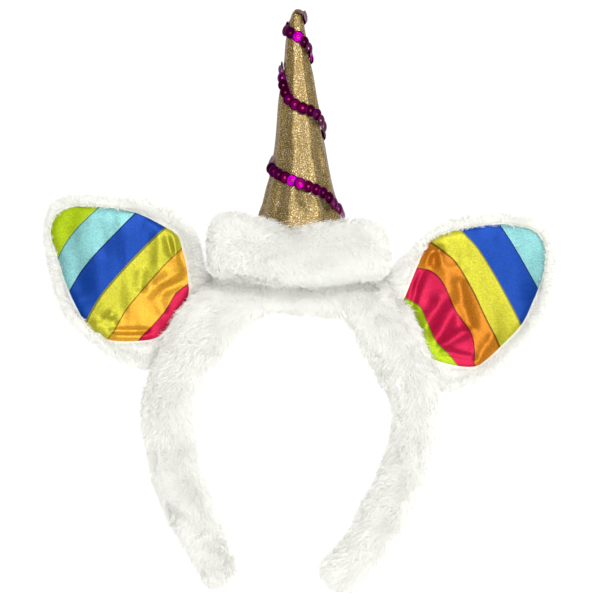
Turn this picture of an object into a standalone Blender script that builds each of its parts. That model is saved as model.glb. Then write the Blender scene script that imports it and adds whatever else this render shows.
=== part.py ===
"""Unicorn horn headband, lying on its back with its front facing up.

A plush sleeve runs round the arch. Two plush ears lined with satin stand on its shoulders, and a stuffed
pad over its crown carries a stuffed metallic horn with a string of sequins wound round it.
X runs to the right across the front, Y from the leg tips to the horn tip, and Z up from the back to the
front. Sizes are in metres. Tables hold shares of the sizes that they follow.
"""

import math

import bmesh
import bpy
import numpy as np
from mathutils import Matrix, Vector

MM = 0.001

# Clearance between sewn pieces, and how far the plush gives where it lies on its back
FIT_GAP = 0.3 * MM
PRESS = 1.5 * MM

# Arch: inner width between the legs, inner height from the tips to the crown, and the sleeve round it.
# A rounded end's last section lies the flat's share of the rounding in from its point.
HEAD_WIDTH = 98 * MM
HEAD_RISE = 138 * MM
SLEEVE_WIDTH = 26 * MM
SLEEVE_DEPTH = 26 * MM
SLEEVE_SIDES = 16
SLEEVE_SQUARENESS = 2.3
LEG_END_ROUND = 7 * MM
END_FLAT = 0.06

# Pad: size, and how far its lower edge hangs over the front of the crown
PAD_LENGTH = 93 * MM
PAD_HEIGHT = 34 * MM
PAD_DEPTH = 48 * MM
PAD_LAP = 14.3 * MM
PAD_SIDES = 20
PAD_SQUARENESS = 3.4
PAD_END_ROUND = 8 * MM

# Horn: size, share of its width that its depth has, and how deep it is sewn into the pad
HORN_LENGTH = 110 * MM
HORN_BASE_WIDTH = 43 * MM
HORN_ROUNDNESS = 0.9
HORN_SEAT = 7.4 * MM
HORN_SIDES = 24
HORN_LOBES = 9
HORN_LOBE_TURN = 0.18

# Sequins: size of one, distance from each to the next along the string, tilt of each, and the thread
SEQUIN_DIAMETER = 6 * MM
SEQUIN_THICKNESS = 0.5 * MM
SEQUIN_FACE_SHARE = 0.8
SEQUIN_PITCH = 4.2 * MM
SEQUIN_TILT = math.radians(12)
SEQUIN_SIDES = 10
THREAD_DIAMETER = 1.0 * MM

# Ears: outline, thickness with the pile, and the satin lining in the hollow of the front
EAR_WIDTH = 82 * MM
EAR_HEIGHT = 87 * MM
EAR_THICKNESS = 15 * MM
EAR_SIDES = 36
EAR_MOUTH_LEVEL = 0.95
LINING_THICKNESS = 1 * MM
LINING_LEVEL = 9.6 * MM
LINING_CROWN = 2.4 * MM
LINING_FOLD = 2.2 * MM
LINING_DIP_SHARE = 0.6

# Arch sections from the left leg's tip to the right one's. Across is a share of half the span between
# the legs' middle lines, down a share of the rise, and width and depth are shares of the sleeve's.
#   across, down, width, depth
ARCH_SECTIONS = (
    (-0.633, 0.996, 0.76, 0.78),
    (-0.681, 0.924, 0.76, 0.84),
    (-0.789, 0.834, 0.87, 0.92),
    (-0.890, 0.744, 0.96, 0.98),
    (-1.000, 0.635, 0.97, 1.00),
    (-1.051, 0.523, 1.00, 1.00),
    (-1.080, 0.417, 1.02, 1.00),
    (-1.043, 0.334, 1.00, 1.00),
    (-0.934, 0.245, 1.15, 1.02),
    (-0.784, 0.152, 1.24, 1.04),
    (-0.577, 0.061, 1.12, 1.02),
    (-0.302, 0.007, 1.05, 1.00),
    (0.000, 0.006, 1.10, 1.00),
    (0.305, 0.014, 1.13, 1.00),
    (0.548, 0.063, 1.08, 1.02),
    (0.718, 0.169, 1.24, 1.04),
    (0.836, 0.274, 1.11, 1.02),
    (0.907, 0.354, 0.98, 1.00),
    (0.923, 0.440, 0.91, 1.00),
    (0.887, 0.533, 0.89, 1.00),
    (0.814, 0.634, 0.93, 1.00),
    (0.696, 0.735, 0.95, 0.98),
    (0.555, 0.841, 0.89, 0.94),
    (0.405, 0.918, 0.88, 0.88),
    (0.262, 0.990, 0.95, 0.84),
)

# Pad sections from left to right. Along is a share of half the pad's length, lift a share of its height,
# and height and depth are shares of the pad's.
#   along, lift, height, depth
PAD_SECTIONS = (
    (-1.030, 0.053, 0.86, 0.86),
    (-0.910, 0.062, 0.96, 0.92),
    (-0.700, 0.058, 1.02, 0.98),
    (-0.400, -0.008, 0.98, 1.00),
    (0.000, -0.013, 1.03, 1.00),
    (0.440, -0.026, 0.95, 1.00),
    (0.690, 0.004, 0.91, 0.98),
    (0.870, -0.015, 0.84, 0.93),
    (0.985, -0.027, 0.78, 0.86),
)

# Horn sections from the base to the tip. Height is a share of its length, and radius, lean and the depth
# of the soft lengthwise folds are shares of the base's radius.
#   height, radius, lean, fold
HORN_SECTIONS = (
    (0.000, 1.000, 0.000, 0.030),
    (0.064, 0.930, 0.000, 0.030),
    (0.136, 0.830, 0.000, 0.026),
    (0.200, 0.745, 0.000, 0.022),
    (0.318, 0.623, 0.000, 0.018),
    (0.409, 0.547, -0.014, 0.015),
    (0.527, 0.486, -0.033, 0.012),
    (0.600, 0.435, -0.047, 0.010),
    (0.709, 0.345, -0.060, 0.008),
    (0.786, 0.285, -0.077, 0.006),
    (0.864, 0.237, -0.093, 0.004),
    (0.943, 0.168, -0.090, 0.000),
    (0.982, 0.130, -0.060, 0.000),
    (1.000, 0.060, -0.050, 0.000),
)

# Route of the sequin string, starting on the right. Turns count round the horn by way of its front, and
# height is a share of the horn's length.
#   turns, height
STRING_ROUTE = (
    (0.02, 0.100),
    (0.06, 0.122),
    (0.14, 0.165),
    (0.25, 0.208),
    (0.43, 0.273),
    (0.50, 0.305),
    (0.75, 0.385),
    (1.00, 0.459),
    (1.12, 0.525),
    (1.25, 0.556),
    (1.33, 0.594),
    (1.41, 0.670),
    (1.50, 0.730),
    (1.75, 0.764),
    (2.00, 0.790),
    (2.07, 0.823),
    (2.18, 0.861),
    (2.30, 0.886),
    (2.50, 0.908),
    (2.75, 0.945),
    (3.00, 0.966),
)

# Ear outlines, anticlockwise from the right, as shares of the ear's width and height from its middle.
# The stretch beside the arch is hidden in it. Side is negative on the left. Shift is from the middle of the
# shoulder, which is the arch's widest section on that side, to the ear's middle.
EARS = {
    "left": {
        "side": -1,
        "shift": (-0.481, 0.290),
        #   across, up
        "plush": (
            (0.560, -0.020),
            (0.503, 0.055),
            (0.472, 0.190),
            (0.408, 0.318),
            (0.276, 0.418),
            (0.092, 0.474),
            (-0.140, 0.492),
            (-0.372, 0.491),
            (-0.470, 0.413),
            (-0.497, 0.240),
            (-0.450, 0.000),
            (-0.380, -0.188),
            (-0.268, -0.306),
            (-0.129, -0.418),
            (0.015, -0.480),
            (0.150, -0.508),
            (0.290, -0.390),
            (0.420, -0.180),
        ),
        "lining": (
            (0.391, 0.005),
            (0.375, 0.108),
            (0.357, 0.171),
            (0.327, 0.258),
            (0.253, 0.309),
            (0.064, 0.396),
            (-0.149, 0.430),
            (-0.301, 0.430),
            (-0.399, 0.401),
            (-0.436, 0.350),
            (-0.454, 0.269),
            (-0.411, 0.120),
            (-0.338, -0.070),
            (-0.234, -0.254),
            (-0.161, -0.306),
            (-0.076, -0.346),
            (0.113, -0.346),
            (0.217, -0.317),
            (0.314, -0.214),
            (0.388, -0.093),
        ),
        # A row for each fold: its two ends, its width and its rise, as shares of the ear's sizes and of
        # the folds' rise.
        #   from across, from up, to across, to up, width, rise
        "folds": (
            (0.300, 0.270, 0.385, 0.080, 0.035, 0.90),
            (0.240, 0.230, 0.330, 0.090, 0.035, -0.55),
            (-0.120, -0.235, -0.020, -0.295, 0.030, 1.00),
            (-0.080, -0.190, 0.060, -0.255, 0.030, -0.55),
            (0.130, -0.070, 0.330, -0.150, 0.045, 0.75),
            (0.080, -0.180, 0.200, -0.290, 0.035, -0.50),
        ),
    },
    "right": {
        "side": 1,
        "shift": (0.527, 0.227),
        "plush": (
            (0.493, 0.228),
            (0.458, 0.374),
            (0.370, 0.446),
            (0.257, 0.478),
            (0.079, 0.484),
            (-0.079, 0.467),
            (-0.206, 0.426),
            (-0.325, 0.347),
            (-0.422, 0.262),
            (-0.517, 0.165),
            (-0.575, 0.060),
            (-0.520, -0.110),
            (-0.400, -0.340),
            (-0.225, -0.538),
            (-0.105, -0.535),
            (0.000, -0.511),
            (0.095, -0.466),
            (0.165, -0.410),
            (0.250, -0.333),
            (0.370, -0.205),
            (0.452, -0.040),
            (0.481, 0.110),
        ),
        "lining": (
            (0.433, 0.247),
            (0.415, 0.316),
            (0.372, 0.376),
            (0.274, 0.408),
            (0.149, 0.422),
            (-0.006, 0.408),
            (-0.104, 0.390),
            (-0.226, 0.356),
            (-0.293, 0.310),
            (-0.366, 0.160),
            (-0.433, -0.000),
            (-0.457, -0.052),
            (-0.408, -0.179),
            (-0.341, -0.294),
            (-0.268, -0.357),
            (-0.122, -0.397),
            (-0.006, -0.403),
            (0.067, -0.363),
            (0.153, -0.288),
            (0.281, -0.161),
            (0.348, -0.035),
            (0.409, 0.114),
        ),
        "folds": (
            (-0.270, 0.280, -0.330, 0.080, 0.040, 0.95),
            (-0.200, 0.270, -0.260, 0.110, 0.035, -0.60),
            (-0.220, 0.160, -0.030, -0.180, 0.045, 0.80),
            (-0.120, 0.170, 0.050, -0.200, 0.045, -0.60),
            (-0.280, -0.130, -0.100, -0.120, 0.035, 0.70),
            (-0.150, -0.290, 0.000, -0.270, 0.030, 0.85),
        ),
    },
}

# Ear plush from the middle of the back to the rim. Inset is from the outline and level from the back,
# both as shares of the ear's thickness.
#   inset, level
EAR_PLUSH_PROFILE = (
    (0.90, 0.000),
    (0.42, 0.000),
    (0.20, 0.110),
    (0.05, 0.300),
    (0.00, 0.520),
    (0.06, 0.780),
    (0.16, 0.930),
    (0.27, 0.980),
)
LINING_RINGS = (0.12, 0.30, 0.48, 0.64, 0.78, 0.90, 1.00)

# Sizes worked out from those above
HALF_SPAN = (HEAD_WIDTH + SLEEVE_WIDTH) / 2
MIDDLE_RISE = HEAD_RISE + SLEEVE_WIDTH / 2
PAD_LEVEL = PAD_DEPTH / 2 - PRESS
CROWN_WIDTH = SLEEVE_WIDTH * ARCH_SECTIONS[len(ARCH_SECTIONS) // 2][2]
PAD_MIDDLE = CROWN_WIDTH / 2 + PAD_HEIGHT / 2 - PAD_LAP
HORN_RADIUS = HORN_BASE_WIDTH / 2
PAD_DIP = PAD_SECTIONS[len(PAD_SECTIONS) // 2][2]
HORN_BASE = PAD_MIDDLE + PAD_HEIGHT / 2 * PAD_DIP - HORN_SEAT
LINING_DIP = LINING_DIP_SHARE * LINING_FOLD
EAR_FLOOR = LINING_LEVEL - LINING_THICKNESS / 2 - LINING_DIP - FIT_GAP


def clear_scene():
    for obj in list(bpy.data.objects):
        bpy.data.objects.remove(obj, do_unlink=True)


def collection(name):
    made = bpy.data.collections.new(name)
    bpy.context.scene.collection.children.link(made)
    return made


def material(name, colour, roughness, metallic=0.0):
    made = bpy.data.materials.new(name)
    made.use_nodes = True
    shader = made.node_tree.nodes["Principled BSDF"]
    shader.inputs["Base Color"].default_value = (*colour, 1.0)
    shader.inputs["Roughness"].default_value = roughness
    shader.inputs["Metallic"].default_value = metallic
    made.diffuse_color = (*colour, 1.0)
    return made


def smooth_rows(rows, steps, closed=False):
    """A Catmull-Rom curve through the rows of a table, with so many samples from each row to the next."""
    table = np.array(rows, float)
    if closed:
        padded = np.vstack([table[-1], table, table[:2]])
    else:
        padded = np.vstack([2 * table[0] - table[1], table, 2 * table[-1] - table[-2]])
    t = np.linspace(0, 1, steps, endpoint=False)[:, None]
    parts = []
    for before, start, end, after in zip(padded, padded[1:], padded[2:], padded[3:]):
        slope = (end - before) / 2
        bend = before - 2.5 * start + 2 * end - after / 2
        twist = (after - before) / 2 + 1.5 * (start - end)
        parts.append(start + slope * t + bend * t**2 + twist * t**3)
    if not closed:
        parts.append(table[-1:])
    return np.vstack(parts)


def section_ring(sides, squareness):
    """A rounded section of unit half width and half depth, a flat side at each of its four extremes."""
    turn = (np.arange(sides) + 0.5) * 2 * math.pi / sides
    across, up = np.cos(turn), np.sin(turn)
    size = (abs(across) ** squareness + abs(up) ** squareness) ** (-1 / squareness)
    return across * size, up * size


def round_ends(middle, end_round):
    """For each point of a middle line, the share of its full section that the rounded ends leave."""
    run = np.linalg.norm(np.diff(middle, axis=0), axis=1)
    travelled = np.concatenate([[0], np.cumsum(run)])
    to_end = np.minimum(travelled, travelled[-1] - travelled)
    inside = np.clip(1 - to_end / end_round, 0, 1 - END_FLAT)
    return np.sqrt(1 - inside**2)


def object_of(mesh, name, group, look=None):
    """A Blender object from a bmesh, in a collection, with its normals outwards and smooth shading."""
    bmesh.ops.recalc_face_normals(mesh, faces=mesh.faces)
    data = bpy.data.meshes.new(name)
    mesh.to_mesh(data)
    mesh.free()
    data.shade_smooth()
    data.set_sharp_from_angle(angle=math.radians(50))
    made = bpy.data.objects.new(name, data)
    group.objects.link(made)
    if look:
        data.materials.append(look)
    else:
        made.hide_render = True
        made.display_type = "WIRE"
    return made


def loft(rings):
    """A closed bmesh skin through rings of equally many points, with a flat cap on each end ring."""
    mesh = bmesh.new()
    rows = [[mesh.verts.new(point) for point in ring] for ring in rings]
    for lower, upper in zip(rows, rows[1:]):
        for i in range(len(lower)):
            j = (i + 1) % len(lower)
            mesh.faces.new((lower[i], lower[j], upper[j], upper[i]))
    mesh.faces.new(rows[0])
    mesh.faces.new(rows[-1])
    return mesh


def pressed(points):
    """Points below the surface that the headband lies on are pressed flat against it."""
    points[..., 2] = np.maximum(points[..., 2], 0)
    return points


def arch_middle(steps):
    """Middle line of the arch and the width and depth of the sleeve along it."""
    rows = smooth_rows(ARCH_SECTIONS, steps)
    middle = np.column_stack([rows[:, 0] * HALF_SPAN, -rows[:, 1] * MIDDLE_RISE])
    return middle, rows[:, 2] * SLEEVE_WIDTH, rows[:, 3] * SLEEVE_DEPTH


def sleeve_rings(grow=0.0):
    middle, width, depth = arch_middle(2)
    share = round_ends(middle, LEG_END_ROUND)
    along = np.gradient(middle, axis=0)
    along /= np.linalg.norm(along, axis=1)[:, None]
    outward = np.column_stack([-along[:, 1], along[:, 0]])
    middle[0] -= along[0] * grow
    middle[-1] += along[-1] * grow
    across, up = section_ring(SLEEVE_SIDES, SLEEVE_SQUARENESS)
    half_width = (width / 2 * share + grow)[:, None] * across
    half_depth = (depth / 2 * share + grow)[:, None] * up
    level = depth[:, None] / 2 - PRESS + half_depth
    flat = middle[:, None, :] + half_width[..., None] * outward[:, None, :]
    return np.dstack([flat, level])


def pad_rings(grow=0.0):
    rows = smooth_rows(PAD_SECTIONS, 2)
    along = rows[:, 0] * PAD_LENGTH / 2
    lift = PAD_MIDDLE + rows[:, 1] * PAD_HEIGHT
    share = round_ends(np.column_stack([along, lift * 0]), PAD_END_ROUND)
    along[0] -= grow
    along[-1] += grow
    across, up = section_ring(PAD_SIDES, PAD_SQUARENESS)
    half_height = (rows[:, 2] * PAD_HEIGHT / 2 * share + grow)[:, None] * across
    half_depth = (rows[:, 3] * PAD_DEPTH / 2 * share + grow)[:, None] * up
    rings = np.empty((len(rows), PAD_SIDES, 3))
    rings[..., 0] = along[:, None]
    rings[..., 1] = lift[:, None] + half_height
    rings[..., 2] = PAD_LEVEL + half_depth
    return rings


def horn_sections(steps):
    return smooth_rows(HORN_SECTIONS, steps)


def horn_point(row, turns, out=0.0, fold=0.0):
    """A point on the horn for one of its sections, at so many turns from the right by way of the front."""
    height, radius, lean = row[:3]
    angle = 2 * math.pi * turns
    reach = (radius + fold) * HORN_RADIUS + out
    x = lean * HORN_RADIUS + reach * np.cos(angle)
    z = PAD_LEVEL + reach * HORN_ROUNDNESS * np.sin(angle)
    y = HORN_BASE + height * HORN_LENGTH + 0 * angle
    return np.stack([x, y, z], axis=-1)


def horn_rings(grow=0.0):
    turns = np.arange(HORN_SIDES) / HORN_SIDES
    rings = []
    for row in horn_sections(1):
        fold = row[3] * np.cos(2 * math.pi * (turns - HORN_LOBE_TURN) * HORN_LOBES)
        rings.append(horn_point(row, turns, grow, fold))
    rings = np.array(rings)
    rings[0, :, 1] -= grow
    return rings


def string_route():
    """The string's middle line along the outside of the horn, as points, with the horn's normal at each."""
    route = smooth_rows(STRING_ROUTE, 12)
    sections = horn_sections(8)
    ahead = 0.02
    out = FIT_GAP + SEQUIN_THICKNESS / 2 + SEQUIN_DIAMETER / 2 * math.sin(SEQUIN_TILT)
    points = []
    normals = []
    for turns, height in route:
        row = [np.interp(height, sections[:, 0], column) for column in sections.T]
        later = [np.interp(height + ahead, sections[:, 0], column) for column in sections.T]
        here = horn_point(row, turns, out, row[3])
        rise = horn_point(later, turns, out, later[3]) - here
        round_horn = horn_point(row, turns + ahead, out, row[3]) - here
        normal = np.cross(round_horn, rise)
        points.append(here)
        normals.append(-normal / np.linalg.norm(normal))
    return np.array(points), np.array(normals)


def spaced(points, normals, pitch):
    """The route at even distances: points, normals and directions along it."""
    run = np.concatenate([[0], np.cumsum(np.linalg.norm(np.diff(points, axis=0), axis=1))])
    places = np.arange(0, run[-1], pitch)
    found = np.column_stack([np.interp(places, run, column) for column in points.T])
    faced = np.column_stack([np.interp(places, run, column) for column in normals.T])
    faced /= np.linalg.norm(faced, axis=1)[:, None]
    ahead = np.gradient(found, axis=0)
    return found, faced, ahead / np.linalg.norm(ahead, axis=1)[:, None]


def make_sleeve(group, look):
    return object_of(loft(pressed(sleeve_rings())), "band_sleeve", group, look)


def make_pad(group, look):
    return object_of(loft(pressed(pad_rings())), "horn_pad", group, look)


def make_horn(group, look):
    return object_of(loft(horn_rings()), "horn", group, look)


def make_thread(points, group, look):
    """The thread that carries the sequins: a bevelled curve made a mesh with its caps welded."""
    curve = bpy.data.curves.new("thread", "CURVE")
    curve.dimensions = "3D"
    curve.bevel_depth = THREAD_DIAMETER / 2
    curve.bevel_resolution = 0
    curve.use_fill_caps = True
    line = curve.splines.new("POLY")
    line.points.add(len(points) - 1)
    for spot, point in zip(line.points, points):
        spot.co = (*point, 1)
    carrier = bpy.data.objects.new("thread", curve)
    group.objects.link(carrier)
    graph = bpy.context.evaluated_depsgraph_get()
    data = bpy.data.meshes.new_from_object(carrier.evaluated_get(graph))
    bpy.data.objects.remove(carrier)
    mesh = bmesh.new()
    mesh.from_mesh(data)
    bmesh.ops.remove_doubles(mesh, verts=mesh.verts, dist=0.01 * MM)
    return object_of(mesh, "sequin_string", group, look)


def make_sequins(points, normals, ahead, cutters):
    """All the sequins as one mesh, each a shallow cup tilted on to the next one."""
    mesh = bmesh.new()
    for point, normal, direction in zip(points, normals, ahead):
        side = Vector(np.cross(normal, direction))
        out = Vector(normal)
        along = side.cross(out)
        stand = Matrix((along, side, out)).transposed().to_4x4()
        tilt = Matrix.Rotation(SEQUIN_TILT, 4, "Y")
        bmesh.ops.create_cone(
            mesh,
            cap_ends=True,
            segments=SEQUIN_SIDES,
            radius1=SEQUIN_DIAMETER / 2,
            radius2=SEQUIN_DIAMETER / 2 * SEQUIN_FACE_SHARE,
            depth=SEQUIN_THICKNESS,
            matrix=Matrix.Translation(Vector(point)) @ stand @ tilt,
        )
    return object_of(mesh, "sequins", cutters)


def make_string(group, cutters, look):
    points, normals, ahead = spaced(*string_route(), SEQUIN_PITCH)
    string = make_thread(points, group, look)
    fused = string.modifiers.new("fuse", "BOOLEAN")
    fused.operation = "UNION"
    fused.object = make_sequins(points, normals, ahead, cutters)
    fused.use_self = True
    return string


def reach_round(outline, sides):
    """How far an outline reaches from the ear's middle, at evenly spaced angles."""
    points = smooth_rows(outline, 6, closed=True) * (EAR_WIDTH, EAR_HEIGHT)
    angle = np.arctan2(points[:, 1], points[:, 0])
    reach = np.hypot(points[:, 0], points[:, 1])
    turn = np.arange(sides) * 2 * math.pi / sides
    return turn, np.interp(turn, angle % (2 * math.pi), reach, period=2 * math.pi)


def ear_middle(ear):
    beside = [row for row in ARCH_SECTIONS if row[0] * ear["side"] > 0]
    across, down = max(beside, key=lambda row: row[2])[:2]
    x = across * HALF_SPAN + ear["shift"][0] * EAR_WIDTH
    y = -down * MIDDLE_RISE + ear["shift"][1] * EAR_HEIGHT
    return np.array([x, y])


def ring_at(ear, turn, reach, level):
    flat = ear_middle(ear) + reach[:, None] * np.column_stack([np.cos(turn), np.sin(turn)])
    return np.column_stack([flat, level + 0 * turn])


def make_ear(side, group, look):
    """Plush shell with a hollow in its front for the lining."""
    ear = EARS[side]
    turn, outer = reach_round(ear["plush"], EAR_SIDES)
    inner = reach_round(ear["lining"], EAR_SIDES)[1] + FIT_GAP
    rings = [
        ring_at(ear, turn, outer - inset * EAR_THICKNESS, level * EAR_THICKNESS)
        for inset, level in EAR_PLUSH_PROFILE
    ]
    rings.append(ring_at(ear, turn, inner, EAR_THICKNESS * EAR_MOUTH_LEVEL))
    rings.append(ring_at(ear, turn, inner, EAR_FLOOR))
    return object_of(loft(rings), f"ear_{side}", group, look)


def fold_rise(ear, places):
    """Height of the lining's folds: each is a ridge or a valley along a line, fading to its sides."""
    rise = np.zeros(len(places))
    size = np.array([EAR_WIDTH, EAR_HEIGHT])
    for *ends, width, height in ear["folds"]:
        start, end = np.array(ends[:2]) * size, np.array(ends[2:]) * size
        run = end - start
        share = np.clip((places - start) @ run / (run @ run), 0, 1)
        away = np.linalg.norm(places - start - share[:, None] * run, axis=1)
        rise += height * LINING_FOLD * np.exp(-((away / (width * EAR_WIDTH)) ** 2))
    return rise


def make_lining(side, group, look):
    """Satin panel: a round grid, crowned in its middle and raised in folds, given its thickness."""
    ear = EARS[side]
    turn, edge = reach_round(ear["lining"], EAR_SIDES)
    mesh = bmesh.new()
    rows = []
    for share in LINING_RINGS:
        ring = ring_at(ear, turn, edge * share, LINING_LEVEL)
        rise = np.maximum(fold_rise(ear, ring[:, :2] - ear_middle(ear)), -LINING_DIP)
        ring[:, 2] += rise * (1 - share**6) + LINING_CROWN * (1 - share**2)
        rows.append([mesh.verts.new(point) for point in ring])
    for inner, outer in zip(rows, rows[1:]):
        for i in range(len(inner)):
            j = (i + 1) % len(inner)
            mesh.faces.new((inner[i], outer[i], outer[j], inner[j]))
    mesh.faces.new(rows[0])
    made = object_of(mesh, f"ear_lining_{side}", group, look)
    wall = made.modifiers.new("thickness", "SOLIDIFY")
    wall.thickness = LINING_THICKNESS
    wall.offset = 0
    return made


def cut(target, cutter):
    """Takes the cutter away from the target, which leaves the fit clearance round the neighbour."""
    made = target.modifiers.new(f"clear_{cutter.name}", "BOOLEAN")
    made.operation = "DIFFERENCE"
    made.object = cutter


def lie_on_origin(objects):
    """Carries everything on an empty that puts the middle of the headband's outline over the origin."""
    bpy.context.view_layer.update()
    graph = bpy.context.evaluated_depsgraph_get()
    corners = []
    for obj in objects:
        if not obj.hide_render:
            corners += [Vector(corner) for corner in obj.evaluated_get(graph).bound_box]
    middle = [(min(c[i] for c in corners) + max(c[i] for c in corners)) / 2 for i in (0, 1)]
    carrier = bpy.data.objects.new("headband", None)
    carrier.location = (-middle[0], -middle[1], 0)
    bpy.context.scene.collection.objects.link(carrier)
    for obj in objects:
        obj.parent = carrier


def main():
    clear_scene()
    parts = collection("unicorn_headband")
    cutters = collection("cutters")
    plush = material("white_plush", (0.93, 0.92, 0.89), 0.95)
    satin = material("striped_satin", (0.95, 0.82, 0.12), 0.35)
    gold = material("gold_lame", (0.62, 0.47, 0.16), 0.35, 0.9)
    foil = material("magenta_sequin", (0.55, 0.02, 0.38), 0.2, 0.7)

    sleeve_room = object_of(loft(sleeve_rings(FIT_GAP)), "sleeve_room", cutters)
    pad_room = object_of(loft(pad_rings(FIT_GAP)), "pad_room", cutters)
    horn_room = object_of(loft(horn_rings(FIT_GAP)), "horn_room", cutters)

    make_sleeve(parts, plush)
    pad = make_pad(parts, plush)
    cut(pad, sleeve_room)
    cut(pad, horn_room)
    make_horn(parts, gold)
    make_string(parts, cutters, foil)
    for side in EARS:
        for made in (make_ear(side, parts, plush), make_lining(side, parts, satin)):
            cut(made, sleeve_room)
            cut(made, pad_room)
    lie_on_origin([*parts.objects, *cutters.objects])


main()
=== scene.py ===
# A unicorn headband lying on its back: white plush, satin ears, a gold lame horn and a string of sequins
import math

import bmesh
import bpy
import numpy as np
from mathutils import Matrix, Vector


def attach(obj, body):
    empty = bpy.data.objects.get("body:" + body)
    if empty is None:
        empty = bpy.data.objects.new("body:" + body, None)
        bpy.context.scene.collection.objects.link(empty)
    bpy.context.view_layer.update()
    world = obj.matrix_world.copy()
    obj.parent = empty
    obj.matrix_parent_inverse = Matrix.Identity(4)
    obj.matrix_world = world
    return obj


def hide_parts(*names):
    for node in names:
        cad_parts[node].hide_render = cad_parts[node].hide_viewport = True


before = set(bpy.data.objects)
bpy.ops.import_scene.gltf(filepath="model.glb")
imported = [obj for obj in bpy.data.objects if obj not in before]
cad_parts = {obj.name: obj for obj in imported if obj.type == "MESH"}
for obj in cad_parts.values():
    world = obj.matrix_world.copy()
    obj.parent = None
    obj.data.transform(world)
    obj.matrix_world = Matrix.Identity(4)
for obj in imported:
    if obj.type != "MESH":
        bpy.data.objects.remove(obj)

mm = 0.001

# Least height of the backing and of the hair over the surface that it all lies on
backingGap = 0.4 * mm
hairGap = 0.15 * mm

# Middle of the photograph's frame in its pixels, and the size of a pixel along X and Y
photoMiddle = np.array([299.65, 300.4])
pixel = np.array([0.5 * mm, -0.5 * mm])

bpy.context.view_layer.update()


# Lines, surfaces and meshes

# Catmull-Rom: between rows b and c, b + f(c-a)/2 + f^2(a - 5b/2 + 2c - d/2) + f^3((d-a)/2 + 3(b-c)/2)
def flowThrough(rows, count, closed=False):
    table = np.array(rows, float)
    last = len(table) if closed else len(table) - 1
    t = np.linspace(0, last, count, endpoint=not closed)
    i = np.minimum(t.astype(int), last - 1)
    f = (t - i)[:, None]
    wrap = "wrap" if closed else "clip"
    a, b, c, d = (np.take(table, i + k, axis=0, mode=wrap) for k in (-1, 0, 1, 2))
    cube = (d - a) / 2 + 1.5 * (b - c)
    square = a - 2.5 * b + 2 * c - d / 2
    return b + f * ((c - a) / 2 + f * (square + f * cube))


# A smooth scatter from about -1.5 to 1.5: the sum of seeded sine waves about `size` long, over their root
def drift(points, size, seed, waves=7):
    dice = np.random.default_rng(seed)
    ways = dice.normal(size=(waves, points.shape[-1]))
    ways *= 2 * math.pi / size * dice.uniform(0.6, 1.5, (waves, 1)) / np.linalg.norm(ways, axis=1)[:, None]
    return np.sin(points @ ways.T + dice.uniform(0, 2 * math.pi, waves)).sum(-1) / math.sqrt(waves)


# The same scatter, once for each of X, Y and Z
def driftWay(points, size, seed):
    return np.stack([drift(points, size, seed + 100 * k) for k in range(3)], axis=-1)


# Ways over their own lengths
def unit(ways):
    return ways / np.maximum(np.linalg.norm(ways, axis=-1, keepdims=True), 1e-12)


# A round-cornered section of half size 1: cos and sin of the turn over their p-norm
def softBox(turn, squareness):
    c, s = np.cos(turn), np.sin(turn)
    size = (abs(c) ** squareness + abs(s) ** squareness) ** (-1 / squareness)
    return c * size, s * size


# Share of the full section left near the ends of a line: a quarter circle over the last `reach` metres
def taperEnds(line, reach):
    run = np.concatenate([[0], np.cumsum(np.linalg.norm(np.diff(line, axis=0), axis=1))])
    into = np.clip(1 - np.minimum(run, run[-1] - run) / reach, 0, 0.995)
    return np.sqrt(1 - into**2)


# Steps along rows and columns of a grid, and their cross product turned outwards from each row's middle
def gridWays(grid, around=True):
    along = np.gradient(grid, axis=0)
    if around:
        across = (np.roll(grid, -1, axis=1) - np.roll(grid, 1, axis=1)) / 2
    else:
        across = np.gradient(grid, axis=1)
    facing = unit(np.cross(along, across))
    middle = grid.mean(axis=1, keepdims=True)
    if (facing * (grid - middle)).sum() < 0:
        facing = -facing
    return along, across, facing


# Quads between neighbours of a grid, and a fan to a pole at each end where the form is closed
def skin(name, grid, look, around=True, poles=(True, True), uv=None):
    rows, cols = grid.shape[:2]
    spots = np.arange(rows * cols).reshape(rows, cols)
    ahead = np.roll(spots, -1, axis=1)
    stop = cols if around else cols - 1
    quads = np.stack([spots[:-1], ahead[:-1], ahead[1:], spots[1:]], axis=-1)[:, :stop].reshape(-1, 4)
    points = [grid.reshape(-1, 3)]
    fans = []
    for k, (row, wanted) in enumerate(zip((0, rows - 1), poles)):
        if wanted:
            pole = rows * cols + len(points) - 1
            points.append(grid[row].mean(axis=0)[None])
            fan = np.stack([spots[row], ahead[row], np.full(cols, pole)], axis=-1)
            fans += (fan[:, ::-1] if k == 0 else fan).tolist()
    mesh = bpy.data.meshes.new(name)
    mesh.from_pydata(np.vstack(points).tolist(), [], quads.tolist() + fans)
    if uv is not None:
        spot = np.empty(len(mesh.loops), np.int32)
        mesh.loops.foreach_get("vertex_index", spot)
        flat = np.vstack([uv.reshape(-1, 2)] + [uv[row].mean(axis=0)[None]
                                                for row, wanted in zip((0, -1), poles) if wanted])
        mesh.uv_layers.new(name="OFBake").data.foreach_set("uv", flat[spot].ravel())
    return finishPiece(name, mesh, look, closed=around and all(poles))


# Closed forms get faces that point outwards, then the mesh becomes a piece of the root body
def finishPiece(name, mesh, look, closed=False, smooth=True):
    if closed:
        turned = bmesh.new()
        turned.from_mesh(mesh)
        bmesh.ops.recalc_face_normals(turned, faces=turned.faces)
        turned.to_mesh(mesh)
        turned.free()
    if smooth:
        mesh.shade_smooth()
    mesh.materials.append(look)
    piece = bpy.data.objects.new(name, mesh)
    bpy.context.collection.objects.link(piece)
    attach(piece, "root")
    return piece


# Finishes

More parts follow.
